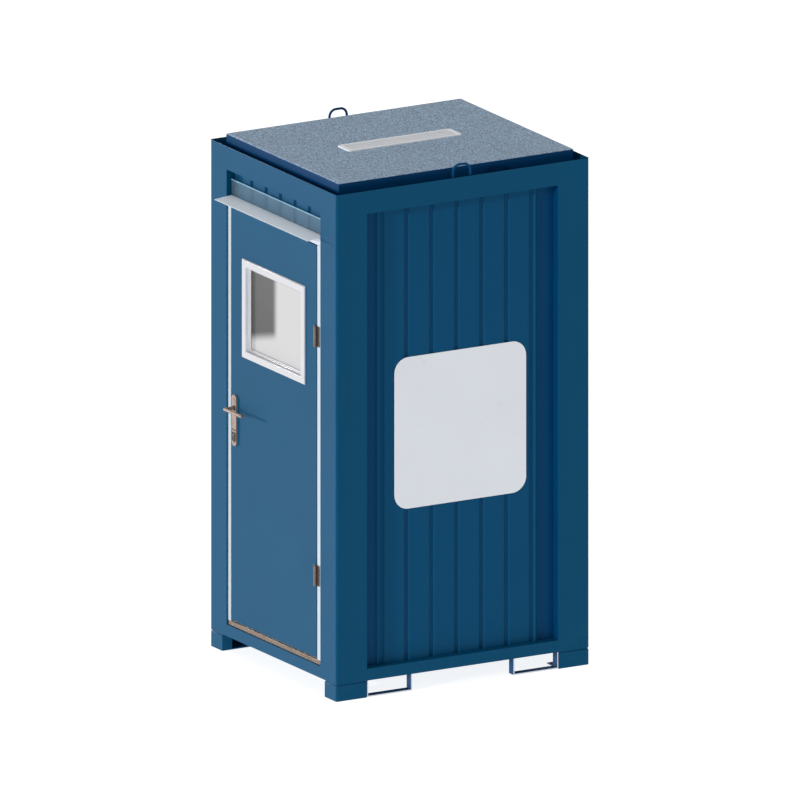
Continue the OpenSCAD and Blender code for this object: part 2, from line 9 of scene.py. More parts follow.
import bmesh
import bpy
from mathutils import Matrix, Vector

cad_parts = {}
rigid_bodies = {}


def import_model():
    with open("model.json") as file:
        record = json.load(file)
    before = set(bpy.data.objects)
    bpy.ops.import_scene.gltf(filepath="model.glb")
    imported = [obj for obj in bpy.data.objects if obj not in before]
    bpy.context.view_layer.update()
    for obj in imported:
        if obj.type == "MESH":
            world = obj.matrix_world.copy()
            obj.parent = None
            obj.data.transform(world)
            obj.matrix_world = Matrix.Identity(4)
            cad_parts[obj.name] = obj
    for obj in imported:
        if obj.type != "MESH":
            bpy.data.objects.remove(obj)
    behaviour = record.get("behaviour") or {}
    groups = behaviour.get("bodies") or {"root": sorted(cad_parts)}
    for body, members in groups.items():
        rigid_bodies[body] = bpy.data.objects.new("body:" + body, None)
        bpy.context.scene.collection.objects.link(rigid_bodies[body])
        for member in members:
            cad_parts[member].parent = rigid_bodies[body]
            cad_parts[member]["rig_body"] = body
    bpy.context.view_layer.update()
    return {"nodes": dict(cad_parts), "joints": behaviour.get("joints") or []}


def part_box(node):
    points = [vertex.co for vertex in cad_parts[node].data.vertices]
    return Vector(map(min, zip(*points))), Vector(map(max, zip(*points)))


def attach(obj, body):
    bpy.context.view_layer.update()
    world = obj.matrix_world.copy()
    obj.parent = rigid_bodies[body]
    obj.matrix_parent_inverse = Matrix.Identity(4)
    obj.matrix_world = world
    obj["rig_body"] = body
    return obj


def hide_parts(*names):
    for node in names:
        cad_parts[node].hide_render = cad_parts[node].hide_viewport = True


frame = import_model()

MM = 0.001
MERGE = 0.01 * MM
X, Y, Z = 0, 1, 2
FRONT = Vector((0, -1, 0))
UP = Vector((0, 0, 1))
ENDS = ("front", "back")
SIDES = ("left", "right")

# Colours as they look in plain light, written as sRGB shares; some, marked below, hold painted shade
# and painted highlights
FRAME_BLUE = (0.020, 0.292, 0.430)
SKIN_BLUE = (0.015, 0.288, 0.438)
# Painted shade: a slightly darker copy of the wall blue on the groove floors
GROOVE_SHADE_BLUE = (0.025, 0.272, 0.418)
# The roof cap's sides: blue paint, set darker than the frame blue as painted shade
CAP_SIDE_SHADE_BLUE = (0.000, 0.235, 0.410)
# Painted shade: a darker copy of the wall blue on the strips beside the posts, the back posts' faces
# towards the door, the fork straps and the lifting eyes
PAINTED_SHADE_BLUE = (0.000, 0.250, 0.420)
LEAF_BLUE = (0.025, 0.288, 0.420)
ROOF_GREY = (0.595, 0.680, 0.765)
# The top rails' upward faces: a lighter grey-blue, partly dust and partly painted light from above
RAIL_TOP_BLUE = (0.240, 0.420, 0.540)
JAMB_WHITE = (0.720, 0.757, 0.790)
LINING_WHITE = (0.840, 0.850, 0.845)
VINYL_GREY = (0.430, 0.450, 0.470)
SILL_BROWN = (0.430, 0.375, 0.335)
CANOPY_GREY = (0.965, 0.980, 0.995)
SCREEN_BLUE = (0.560, 0.680, 0.740)
# Painted highlight along the clear screen's top edge
SCREEN_HIGHLIGHT_BLUE = (0.450, 0.640, 0.735)
GASKET_GREY = (0.640, 0.642, 0.655)
# Painted highlight: near white on the fork straps' outward edge faces
EDGE_HIGHLIGHT_WHITE = (0.860, 0.885, 0.920)
# Painted shade: a greyer white on the vent's slot floors
VENT_SHADE = (0.860, 0.870, 0.890)
PLATE_WHITE = (0.910, 0.928, 0.955)
ZINC = (0.440, 0.400, 0.380)
WINDOW_WHITE = (0.765, 0.765, 0.780)
PANE_PALE = (0.728, 0.728, 0.730)
# Painted shade: the dark patch on the frosted pane
PANE_DARK = (0.240, 0.240, 0.238)
STEEL_WARM = (0.560, 0.490, 0.450)
LOCK_DARK = (0.210, 0.200, 0.200)
LOCK_BROWN = (0.330, 0.270, 0.250)
GUARD_DARK = (0.040, 0.030, 0.040)
VENT_WHITE = (0.970, 0.975, 0.985)
# Black rubber, also used as painted shade in the key slots
RUBBER_AND_SLOT_SHADE_BLACK = (0.060, 0.065, 0.070)
SEALANT_GREY = (0.330, 0.400, 0.460)


def linear(colour):
    """A colour written as sRGB shares, as the linear RGBA that a shader takes."""
    def channel(c):
        return c / 12.92 if c <= 0.04045 else ((c + 0.055) / 1.055) ** 2.4
    return tuple(channel(c) for c in colour) + (1.0,)


# --- Shader maths ---------------------------------------------------------------


class Wire:
    """A number's socket. An expression on it adds Math nodes to its finish."""

    def __init__(self, finish, socket):
        self.finish = finish
        self.socket = socket

    def maths(self, operation, a, b):
        return self.finish.add("ShaderNodeMath", {"operation": operation}, {0: a, 1: b})

    def __add__(self, other):
        return self.maths("ADD", self, other)

    def __radd__(self, other):
        return self.maths("ADD", other, self)

    def __sub__(self, other):
        return self.maths("SUBTRACT", self, other)

    def __rsub__(self, other):
        return self.maths("SUBTRACT", other, self)

    def __mul__(self, other):
        return self.maths("MULTIPLY", self, other)

    def __rmul__(self, other):
        return self.maths("MULTIPLY", other, self)


class Finish:
    """A material with one Principled shader, and the nodes that vary it over a surface."""

    def __init__(self, name, **constants):
        self.material = bpy.data.materials.new(name)
        self.material.use_nodes = True
        self.tree = self.material.node_tree
        self.shader = next(n for n in self.tree.nodes if n.type == "BSDF_PRINCIPLED")
        for socket, value in constants.items():
            self.shader.inputs[socket.replace("_", " ")].default_value = value

    def add(self, kind, settings=None, inputs=None, output=0):
        """Adds a node: its settings first, then the values or links of its sockets."""
        node = self.tree.nodes.new(kind)
        for key, value in (settings or {}).items():
            setattr(node, key, value)
        for key, value in (inputs or {}).items():
            if isinstance(value, Wire):
                self.tree.links.new(value.socket, node.inputs[key])
            else:
                node.inputs[key].default_value = value
        return Wire(self, node.outputs[output])

    def drive(self, socket, wire):
        self.tree.links.new(wire.socket, self.shader.inputs[socket])

    def place(self, stretch=(1, 1, 1)):
        """Object coordinates, stretched along each axis."""
        here = self.add("ShaderNodeTexCoord", output="Object")
        return self.add("ShaderNodeMapping", {}, {"Vector": here, "Scale": stretch})

    def noise(self, scale, detail=3.0, roughness=0.55, where=None):
        where = where or self.place()
        values = {"Vector": where, "Scale": scale, "Detail": detail, "Roughness": roughness}
        return self.add("ShaderNodeTexNoise", {}, values)

    def ramp(self, wire, low, high):
        """0 below low, 1 above high and smooth between."""
        settings = {"interpolation_type": "SMOOTHSTEP"}
        values = {"Value": wire, "From Min": low, "From Max": high}
        return self.add("ShaderNodeMapRange", settings, values)

    def axis(self, name, where=None):
        return self.add("ShaderNodeSeparateXYZ", {}, {0: where or self.place()}, output=name)

    def blend(self, factor, first, second):
        """From the first colour, where the factor is 0, to the second."""
        settings = {"data_type": "RGBA"}
        return self.add("ShaderNodeMix", settings, {0: factor, 6: first, 7: second}, output=2)

    def bump(self, height, depth):
        self.drive("Normal", self.add("ShaderNodeBump", {}, {"Height": height, "Distance": depth}))


# --- Finishes -------------------------------------------------------------------


def shade(colour, factor):
    return tuple(c * factor for c in linear(colour)[:3]) + (1.0,)


def paint(name, colour, gloss=0.42, peel=900.0, grime=0.015):
    """Sprayed paint on steel: orange peel, faint clouding, and dust low down."""
    finish = Finish(name, IOR=1.45, Specular_IOR_Level=0.07)
    clouds = finish.noise(2.6, 4.0)
    tone = finish.blend(clouds, shade(colour, 0.93), shade(colour, 1.07))
    streaks = finish.noise(5.0, 3.0, 0.6, finish.place(stretch=(7, 7, 0.35)))
    tone = finish.blend(finish.ramp(streaks, 0.5, 0.85) * 0.12, tone, shade(colour, 1.35))
    low = 1 - finish.ramp(finish.axis("Z"), 0.02, 0.34)
    dust = low * finish.ramp(finish.noise(21.0, 5.0), 0.42, 0.72) * grime
    tone = finish.blend(dust, tone, linear((0.50, 0.47, 0.42)))
    finish.drive("Base Color", tone)
    finish.drive("Roughness", finish.noise(9.0, 3.0) * 0.16 + dust * 0.5 + (gloss - 0.08))
    finish.bump(finish.noise(peel, 2.0), 0.06 * MM)
    return finish.material


def coated_sheet(name, colour):
    """Coil-coated sheet: very even, with faint rolling lines that run upward."""
    finish = Finish(name, IOR=1.45, Specular_IOR_Level=0.07)
    lines = finish.noise(38.0, 2.0, 0.5, finish.place(stretch=(1, 1, 0.02)))
    clouds = finish.noise(1.7, 3.0)
    tone = finish.blend(clouds, shade(colour, 0.95), shade(colour, 1.06))
    tone = finish.blend(lines * 0.18, tone, shade(colour, 1.18))
    low = 1 - finish.ramp(finish.axis("Z"), 0.15, 0.62)
    splash = low * finish.ramp(finish.noise(26.0, 6.0), 0.5, 0.74)
    tone = finish.blend(splash * 0.015, tone, linear((0.52, 0.49, 0.44)))
    finish.drive("Base Color", tone)
    finish.drive("Roughness", lines * 0.10 + splash * 0.1 + 0.36)
    finish.bump(finish.noise(420.0, 2.0) * 0.4 + lines, 0.05 * MM)
    return finish.material


def grained_roof(name, colour):
    """Grained roof membrane: a fine mineral grain over faint water marks."""
    finish = Finish(name, Specular_IOR_Level=0.2)
    grain = finish.noise(175.0, 3.0, 0.8)
    tone = finish.blend(finish.ramp(grain, 0.42, 0.58), shade(colour, 0.45), shade(colour, 1.50))
    marks = finish.ramp(finish.noise(4.2, 5.0, 0.62), 0.47, 0.68)
    tone = finish.blend(marks * 0.15, tone, shade(colour, 0.72))
    finish.drive("Base Color", tone)
    finish.drive("Roughness", grain * 0.2 + 0.62)
    finish.bump(grain, 1.2 * MM)
    return finish.material


def powder_coat(name, colour, gloss=0.4):
    """White powder coat: fine texture, a little yellowing and handling marks."""
    finish = Finish(name, IOR=1.5, Specular_IOR_Level=0.3)
    tone = finish.blend(finish.noise(3.4, 4.0), shade(colour, 0.96), shade(colour, 1.03))
    marks = finish.ramp(finish.noise(14.0, 6.0, 0.65), 0.60, 0.78)
    tone = finish.blend(marks * 0.12, tone, linear((0.62, 0.60, 0.55)))
    finish.drive("Base Color", tone)
    finish.drive("Roughness", finish.noise(30.0, 2.0) * 0.12 + marks * 0.15 + (gloss - 0.06))
    finish.bump(finish.noise(1300.0, 2.0), 0.04 * MM)
    return finish.material


def speckled_vinyl(name, colour):
    """Floor vinyl with dark and light chips."""
    finish = Finish(name, Specular_IOR_Level=0.3)
    values = {"Vector": finish.place(), "Scale": 330.0}
    cells = finish.add("ShaderNodeTexVoronoi", {}, values, output="Color")
    chips = finish.axis("X", cells)
    tone = finish.blend(finish.ramp(chips, 0.70, 0.74), shade(colour, 1.0), shade(colour, 0.45))
    tone = finish.blend(1 - finish.ramp(chips, 0.14, 0.18), tone, shade(colour, 1.9))
    finish.drive("Base Color", tone)
    finish.drive("Roughness", finish.noise(8.0, 4.0) * 0.2 + 0.42)
    finish.bump(finish.noise(500.0, 2.0), 0.05 * MM)
    return finish.material


def brushed_metal(name, colour, stretch, roughness=0.34, tarnish=0.25, metallic=0.85):
    """Brushed metal: fine lines along the part, and darker handled patches."""
    finish = Finish(name, Metallic=metallic)
    lines = finish.noise(240.0, 3.0, 0.6, finish.place(stretch=stretch))
    tone = finish.blend(lines, shade(colour, 0.82), shade(colour, 1.12))
    patches = finish.ramp(finish.noise(24.0, 4.0), 0.46, 0.72)
    tone = finish.blend(patches * tarnish, tone, shade(colour, 0.5))
    finish.drive("Base Color", tone)
    finish.drive("Roughness", lines * 0.14 + patches * 0.12 + (roughness - 0.07))
    finish.bump(lines, 0.03 * MM)
    return finish.material


def ribbed_sheet(name, colour, pitch):
    """Milky twin-wall sheet: its inner webs show as faint lines across X."""
    finish = Finish(name, Specular_IOR_Level=0.35)
    turn = finish.axis("X") * (2 * math.pi / pitch)
    wave = finish.add("ShaderNodeMath", {"operation": "SINE"}, {0: turn})
    webs = finish.ramp(wave, 0.35, 0.95)
    tone = finish.blend(webs * 0.5, linear(colour), shade(colour, 0.82))
    tone = finish.blend(finish.noise(12.0, 4.0) * 0.25, tone, shade(colour, 1.12))
    finish.drive("Base Color", tone)
    finish.drive("Roughness", finish.noise(40.0, 2.0) * 0.1 + 0.25)
    finish.bump(webs, 0.08 * MM)
    return finish.material


def clear_sheet(name, colour, cover):
    """Clear plastic sheet: mostly see-through, with rain marks."""
    finish = Finish(name, IOR=1.49)
    marks = finish.ramp(finish.noise(18.0, 5.0, 0.6, finish.place(stretch=(1, 1, 0.4))), 0.45, 0.75)
    finish.drive("Base Color", finish.blend(marks * 0.1, linear(colour), shade(colour, 1.2)))
    finish.drive("Roughness", marks * 0.2 + 0.08)
    finish.drive("Alpha", marks * 0.02 + cover)
    finish.bump(finish.noise(90.0, 2.0), 0.03 * MM)
    return finish.material


def frosted_pane(name):
    """Pale frosted glass with a soft dark patch of painted shade at its upper latch corner."""
    low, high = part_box("window_pane")
    finish = Finish(name, IOR=1.5, Specular_IOR_Level=0.5)
    # The shade's width and height from that corner, its soft edges and its foot's slope
    reach = 252 * MM
    drop = 350 * MM
    blur_x = 40 * MM
    blur_z = 60 * MM
    rise = 0.26
    edge = low.x + reach
    across = 1 - finish.ramp(finish.axis("X"), edge - blur_x, edge + blur_x / 2)
    level = finish.axis("Z") - finish.axis("X") * rise
    base = high.z - drop - low.x * rise
    down = finish.ramp(level, base - blur_z / 2, base + blur_z / 2)
    deeper = finish.ramp(finish.axis("Z"), high.z - drop, high.z)
    dark = finish.blend(deeper, shade(PANE_DARK, 0.85), shade(PANE_DARK, 1.25))
    frost = finish.noise(700.0, 3.0, 0.6)
    pale = finish.blend(frost, shade(PANE_PALE, 0.97), shade(PANE_PALE, 1.03))
    finish.drive("Base Color", finish.blend(across * down, pale, dark))
    finish.drive("Roughness", frost * 0.12 + 0.2)
    finish.bump(frost, 0.05 * MM)
    return finish.material


def rubber(name, colour, roughness=0.7):
    """Rubber or sealant: matt, with a faint bloom."""
    finish = Finish(name, Specular_IOR_Level=0.25)
    bloom = finish.ramp(finish.noise(45.0, 4.0), 0.45, 0.75)
    finish.drive("Base Color", finish.blend(bloom * 0.4, linear(colour), shade(colour, 1.9)))
    finish.drive("Roughness", bloom * 0.1 + roughness)
    finish.bump(finish.noise(800.0, 2.0), 0.05 * MM)
    return finish.material


FINISH = {
    "frame_paint": paint("frame_paint", FRAME_BLUE),
    "skin_paint": coated_sheet("skin_paint", SKIN_BLUE),
    "skin_shade": coated_sheet("skin_shade", PAINTED_SHADE_BLUE),
    "skin_groove": coated_sheet("skin_groove", GROOVE_SHADE_BLUE),
    "rail_top": paint("rail_top", RAIL_TOP_BLUE, gloss=0.6, grime=0.3),
    "leaf_paint": paint("leaf_paint", LEAF_BLUE, gloss=0.40, grime=0.01),
    "roof_coat": grained_roof("roof_coat", ROOF_GREY),
    "door_frame_white": powder_coat("door_frame_white", JAMB_WHITE),
    "lining_white": powder_coat("lining_white", LINING_WHITE, gloss=0.5),
    "floor_covering": speckled_vinyl("floor_covering", VINYL_GREY),
    "sill_metal": brushed_metal("sill_metal", SILL_BROWN, (0.03, 1, 1), roughness=0.5),
    "canopy_sheet": ribbed_sheet("canopy_sheet", CANOPY_GREY, 11 * MM),
    "clear_screen": clear_sheet("clear_screen", SCREEN_BLUE, 0.15),
    "screen_edge_highlight": powder_coat("screen_edge_highlight", SCREEN_HIGHLIGHT_BLUE, gloss=0.3),
    "gasket_grey": rubber("gasket_grey", GASKET_GREY),
    "reveal_shade": paint("reveal_shade", CAP_SIDE_SHADE_BLUE),
    "bare_edge": powder_coat("bare_edge", EDGE_HIGHLIGHT_WHITE, gloss=0.5),
    "plate_white": powder_coat("plate_white", PLATE_WHITE, gloss=0.35),
    "hinge_metal": brushed_metal("hinge_metal", ZINC, (1, 1, 0.05), roughness=0.42),
    "window_white": powder_coat("window_white", WINDOW_WHITE, gloss=0.33),
    "frosted_pane": frosted_pane("frosted_pane"),
    "handle_metal": brushed_metal(
        "handle_metal", STEEL_WARM, (1, 1, 0.04), roughness=0.55, tarnish=0.45, metallic=0.25
    ),
    "lock_metal": brushed_metal("lock_metal", LOCK_DARK, (1, 1, 1), roughness=0.4),
    "lock_face": powder_coat("lock_face", LOCK_BROWN, gloss=0.5),
    "guard_dark": powder_coat("guard_dark", GUARD_DARK, gloss=0.5),
    "canopy_edge": powder_coat("canopy_edge", JAMB_WHITE, gloss=0.5),
    "vent_white": powder_coat("vent_white", VENT_WHITE, gloss=0.45),
    "vent_slot": powder_coat("vent_slot", VENT_SHADE, gloss=0.6),
    "rubber_and_slot_shade": rubber("rubber_and_slot_shade", RUBBER_AND_SLOT_SHADE_BLACK),
    "joint_sealant": rubber("joint_sealant", SEALANT_GREY, 0.55),
}


# --- Making pieces --------------------------------------------------------------

# Edges that meet at more than BEVEL_FROM are rounded, and from SHARP_FROM they shade sharp
BEVEL_FROM = math.radians(32)
SHARP_FROM = math.radians(34)
# Faces this near to flat are dissolved into one
FLAT_WITHIN = math.radians(0.6)
# An edge this near to a height lies at it
LEVEL_WITHIN = 0.2 * MM


def piece(name, bm, body, slot, *extra, finish=None):
    """Turns a bmesh into a piece that rides on a body, with the slot's finish first."""
    mesh = bpy.data.meshes.new(name)
    bm.to_mesh(mesh)
    bm.free()
    made = bpy.data.objects.new(name, mesh)
    bpy.context.scene.collection.objects.link(made)
    for key in (finish or slot, *extra):
        mesh.materials.append(FINISH[key])
    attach(made, body)
    return made


def in_mm(*pairs):
    return [(a * MM, b * MM) for a, b in pairs]


def weld_meshes(nodes):
    """The nodes' meshes as one bmesh, with the faces where they meet taken out."""
    bm = bmesh.new()
    for node in nodes:
        part = bmesh.new()
        part.from_mesh(frame["nodes"][node].data)
        bmesh.ops.remove_doubles(part, verts=part.verts, dist=MERGE)
        bmesh.ops.dissolve_limit(
            part, angle_limit=FLAT_WITHIN, verts=part.verts, edges=part.edges
        )
        merged = bpy.data.meshes.new(node)
        part.to_mesh(merged)
        part.free()
        bm.from_mesh(merged)
        bpy.data.meshes.remove(merged)
    bmesh.ops.remove_doubles(bm, verts=bm.verts, dist=MERGE)
    if len(nodes) > 1:
        inside = [f for f in bm.faces if all(len(e.link_faces) > 2 for e in f.edges)]
        bmesh.ops.delete(bm, geom=inside, context="FACES")
    bm.normal_update()
    return bm


def round_edges(bm, width, segments, chosen):
    """Rounds the sharp edges for which chosen(edge) holds."""
    corners = [e for e in bm.edges if len(e.link_faces) == 2 and e.calc_face_angle(0) > BEVEL_FROM]
    edges = [e for e in corners if chosen(e)]
    if edges:
        made = bmesh.ops.bevel(
            bm, geom=edges, offset=width, offset_type="OFFSET", affect="EDGES", segments=segments,
            profile=0.5, material=-1, clamp_overlap=True
        )
        for face in made["faces"]:
            face.smooth = True
    bm.normal_update()


def mark_sharp(bm):
    """Marks the edges at which the shading breaks."""
    for edge in bm.edges:
        edge.smooth = len(edge.link_faces) != 2 or edge.calc_face_angle(0) < SHARP_FROM


def softened(
    nodes, slot, width, skip=None, segments=2, corner=0, rounded=False, faces=(), sharp_z=None
):
    """A copy of a CAD node, or of several welded together, with its edges rounded.

    width is the rounding's size, and corner a larger one for the frame's upright outer
    corners. skip(normal) names faces whose edges stay sharp, and edges at the height
    sharp_z stay sharp too. faces is a list of (finish, test(normal, middle)), where a
    later test wins, and rounded shades the whole piece smooth.
    """
    nodes = [nodes] if isinstance(nodes, str) else list(nodes)
    bm = weld_meshes(nodes)
    for face in bm.faces:
        face.smooth = rounded

    def is_plain(edge):
        if sharp_z is not None and all(abs(v.co.z - sharp_z) < LEVEL_WITHIN for v in edge.verts):
            return False
        if skip and any(skip(f.normal) for f in edge.link_faces):
            return False
        return not (corner and is_outer_corner(edge))

    if corner:
        round_edges(bm, corner, 4, is_outer_corner)
    round_edges(bm, width, segments, is_plain)
    mark_sharp(bm)
    for index, (_, test) in enumerate(faces, 1):
        for face in bm.faces:
            if test(face.normal, face.calc_center_median()):
                face.material_index = index
    name = nodes[0] if len(nodes) == 1 else nodes[0].rsplit("_", 1)[0] + "s"
    body = frame["nodes"][nodes[0]]["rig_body"]
    made = piece(f"{name}_finished", bm, body, slot, *(finish for finish, _ in faces))
    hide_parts(*nodes)


def is_outer_corner(edge):
    """True on an upright edge at a corner of the steel frame's outline."""
    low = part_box("post_front_left")[0]
    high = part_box("post_back_right")[1]
    a, b = (v.co for v in edge.verts)
    reach = 12 * MM
    upright = abs(a.x - b.x) < MM and abs(a.y - b.y) < MM
    at_x = min(abs(a.x - low.x), abs(a.x - high.x)) < reach
    at_y = min(abs(a.y - low.y), abs(a.y - high.y)) < reach
    return upright and at_x and at_y


def along(axis):
    """A test for normals that point along an axis, either way."""
    return lambda normal: abs(normal[axis]) > 0.9


def facing(axis, way, amount=0.9):
    """A face test: its normal points along an axis, the way that 1 or -1 gives."""
    return lambda normal, middle: normal[axis] * way > amount


def anywhere(normal, middle):
    return True


def rectangle_ring(bm, corner, across, up, inset, depth):
    """A closed ring along the inside of a rectangle, pushed out by depth."""
    corner, across, up, depth = (Vector(value) for value in (corner, across, up, depth))
    side = across.normalized() * inset
    rise = up.normalized() * inset
    outer = [corner, corner + across, corner + across + up, corner + up]
    inward = (side + rise, rise - side, -side - rise, side - rise)
    inner = [point + shift for point, shift in zip(outer, inward)]
    base_out, base_in, top_out, top_in = (
        [bm.verts.new(point + shift) for point in points]
        for shift in (Vector(), depth) for points in (outer, inner)
    )
    for one, other in ((base_out, base_in), (top_in, top_out), (base_in, top_in), (top_out, base_out)):
        for k in range(4):
            after = (k + 1) % 4
            bm.faces.new((one[k], one[after], other[after], other[k]))


def turned(bm, profile, centre, axis, steps=32):
    """A turned shape: profile is a list of (radius, distance along axis)."""
    axis = Vector(axis).normalized()
    side = axis.orthogonal().normalized()
    verts = [bm.verts.new(Vector(centre) + side * r + axis * d) for r, d in profile]
    edges = [bm.edges.new(pair) for pair in zip(verts, verts[1:])]
    bmesh.ops.spin(
        bm, geom=verts + edges, cent=centre, axis=axis, angle=2 * math.pi, steps=steps, use_merge=True
    )


def finish_mesh(bm, smooth=True):
    """Merges doubles, turns the faces outward and marks the sharp edges."""
    bmesh.ops.remove_doubles(bm, verts=bm.verts, dist=MERGE)
    bmesh.ops.recalc_face_normals(bm, faces=bm.faces)
    for face in bm.faces:
        face.smooth = smooth
    mark_sharp(bm)


def bar(bm, low, high, chamfer):
    """A bar between two corners with bevelled edges."""
    low, high = Vector(low), Vector(high)
    made = bmesh.ops.create_cube(bm, size=1.0)["verts"]
    bmesh.ops.scale(bm, vec=high - low, verts=made)
    bmesh.ops.translate(bm, vec=(low + high) / 2, verts=made)
    edges = list({e for v in made for e in v.link_edges})
    bmesh.ops.bevel(
        bm, geom=edges, offset=chamfer, affect="EDGES", segments=2, profile=0.5, material=-1
    )


def screw(bm, centre, axis, radius):
    """A pan-head screw with a round recess."""
    rise = 0.55 * radius
    head = ((0, 0.45), (0.42, 0.45), (0.46, 1), (0.75, 0.86), (0.95, 0.45))
    profile = [(radius * share, rise * height) for share, height in head]
    profile += [(radius, -0.2 * radius), (0, -0.2 * radius)]
    turned(bm, profile, centre, axis, steps=12)


# --- The steel frame ------------------------------------------------------------

CORNER_R = 9 * MM
STRAP_BEAD_R = 3 * MM


def outward(side):
    return 1 if side == "right" else -1


def finish_posts_and_feet():
    """Posts and feet; the back posts' faces towards the door carry painted shade, a darker blue for
    the shade at the posts.
    """
    for end in ENDS:
        for side in SIDES:
            softened(
                f"post_{end}_{side}", "frame_paint", 3 * MM, skip=along(Z), segments=3,
                corner=CORNER_R, faces=[("skin_shade", facing(Y, -1))] if end == "back" else []
            )
            softened(f"foot_{end}_{side}", "frame_paint", 1.6 * MM, corner=CORNER_R)


def finish_rails():
    """Each level's four rails as one welded ring, sharp where the posts meet it."""
    post_low, post_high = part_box("post_front_left")
    # The top rails' upward faces are lighter: partly dust, partly painted light from above
    top_faces = [("rail_top", facing(Z, 1))]
    for level, sharp_z, faces in (("bottom", post_low.z, []), ("top", post_high.z, top_faces)):
        softened(
            [f"{level}_rail_{edge}" for edge in ENDS + SIDES], "frame_paint", 1.5 * MM,
            corner=CORNER_R, faces=faces, sharp_z=sharp_z
        )


def finish_straps_and_eyes():
    """Fork straps in painted shade, with a near-white painted highlight on their outward edge faces,
    and the lifting eyes in painted shade.
    """
    for side in SIDES:
        softened(
            f"fork_straps_{side}", "frame_paint", 0.5 * MM, segments=1,
            faces=[("skin_shade", anywhere), ("bare_edge", facing(X, outward(side), 0.3))]
        )
        # The lifting eyes are all in painted shade, the darker blue
        softened(
            f"lifting_eye_{side}", "frame_paint", 0.5 * MM, segments=1, rounded=True,
            faces=[("skin_shade", anywhere)]
        )


def weld_bead(bm, start, end, radius):
    """A rippled weld laid between two points."""
    start, end = Vector(start), Vector(end)
    run = end - start
    tip = radius * 0.05
    ripples = 2 * max(4, int(run.length / (radius * 0.9)))
    profile = [(tip, 0.0)]
    for k in range(ripples):
        swell = 0.85 if k % 2 else 1.0
        profile.append((radius * swell, run.length * (k + 0.5) / ripples))
    profile.append((tip, run.length))
    turned(bm, profile, start, run, steps=10)


def add_strap_welds(side):
    """Beads across the tops of the fork straps' legs, at both faces of each leg."""
    node = f"fork_straps_{side}"
    ends = [corner.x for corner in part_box(node)]
    outer, inner = reversed(ends) if side == "right" else ends
    inset = 5 * MM * outward(side)
    rail_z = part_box(f"bottom_rail_{side}")[0].z
    bm = bmesh.new()
    for y in sorted({round(v.co.y, 5) for v in frame["nodes"][node].data.vertices}):
        weld_bead(bm, (outer - inset, y, rail_z), (inner + inset, y, rail_z), STRAP_BEAD_R)
    finish_mesh(bm)
    piece(f"strap_welds_{side}", bm, "root", "frame_paint")


def add_eye_welds(side):
    """A fillet weld round each foot of a lifting eye."""
    low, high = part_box(f"lifting_eye_{side}")
    wire = (high.x - low.x) / 2
    fillet = in_mm((0, 5), (2, 4.2), (4.5, 2), (5.5, 0), (0, 0))
    profile = [(wire + spread, height) for spread, height in fillet]
    bm = bmesh.new()
    for y in (low.y + wire, high.y - wire):
        turned(bm, profile, ((low.x + high.x) / 2, y, low.z), UP, steps=24)
    finish_mesh(bm)
    piece(f"eye_welds_{side}", bm, "root", "frame_paint")


def finish_steel_frame():
    finish_posts_and_feet()
    finish_rails()
    finish_straps_and_eyes()
    for side in SIDES:
        add_strap_welds(side)
        add_eye_welds(side)


# --- Walls, floor and roof ------------------------------------------------------

# Each grooved panel's axis, and which way its skin faces on it
SKINS = {"wall_left": (X, -1), "wall_right": (X, 1), "wall_back": (Y, 1), "transom_panel": (Y, -1)}
# A face further in than this from a panel's skin lies in a groove
GROOVE_FROM = 8 * MM
# The strips beside the posts start this far from the grooves' middle, which lies
# GROOVES_AHEAD nearer to the door than the side wall's own middle
STRIP_REACH = 437 * MM
GROOVES_AHEAD = 10 * MM
# Height of the roof cap above the gutter
CAP_H = 77 * MM
# How far down the roof cap's sides the grained coat ends
COAT_LAP = 3 * MM
VENT_RIM = 5 * MM
SKIRT_H = 60 * MM
SKIRT_T = 8 * MM


def panel_faces(node, axis, out):
    """Face finishes of a grooved panel: its grooves, its lining and the strips at the posts. The
    groove floors and the strips carry painted shade, darker blues for the shade in these recesses.
    """
    low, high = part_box(node)
    skin = out * (high if out > 0 else low)[axis]
    grooves_y = (low.y + high.y) / 2 - GROOVES_AHEAD

    def in_groove(normal, middle):
        return normal[axis] * out > 0.9 and middle[axis] * out < skin - GROOVE_FROM

    # The strips beside the posts are painted shade, the darker blue
    def at_post(normal, middle):
        return axis == X and in_groove(normal, middle) and abs(middle.y - grooves_y) > STRIP_REACH

    return [
        ("skin_groove", in_groove), ("lining_white", facing(axis, -out)), ("skin_shade", at_post)
    ]


def finish_panels():
    for node, (axis, out) in SKINS.items():
        softened(node, "skin_paint", 1.6 * MM, skip=along(Z), faces=panel_faces(node, axis, out))
    for side in SIDES:
        softened(f"front_panel_{side}", "lining_white", 1 * MM)


def finish_floor():
    """Vinyl on top of the floor, frame paint below it."""
    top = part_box("floor_panel")[1].z

    def below(normal, middle):
        return middle.z < top - 2 * MM

    softened("floor_panel", "floor_covering", 1 * MM, faces=[("frame_paint", below)])


def finish_roof():
    """The coated roof cap, its blue sides darker with painted shade and lined below the gutter, and
    the vent.
    """
    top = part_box("roof_panel")[1].z

    def cap_side(normal, middle):
        return middle.z < top - COAT_LAP

    def ceiling(normal, middle):
        return middle.z < top - CAP_H - MM

    softened(
        "roof_panel", "roof_coat", 1 * MM,
        faces=[("reveal_shade", cap_side), ("lining_white", ceiling)]
    )
    low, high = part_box("roof_vent")

    # The slot floors take the greyer vent_slot white as painted shade
    def in_slot(normal, middle):
        inside_x = low.x + VENT_RIM < middle.x < high.x - VENT_RIM
        inside_y = low.y + VENT_RIM < middle.y < high.y - VENT_RIM
        return middle.z < high.z - 0.7 * MM and inside_x and inside_y

    softened("roof_vent", "vent_white", 0.6 * MM, segments=1, faces=[("vent_slot", in_slot)])


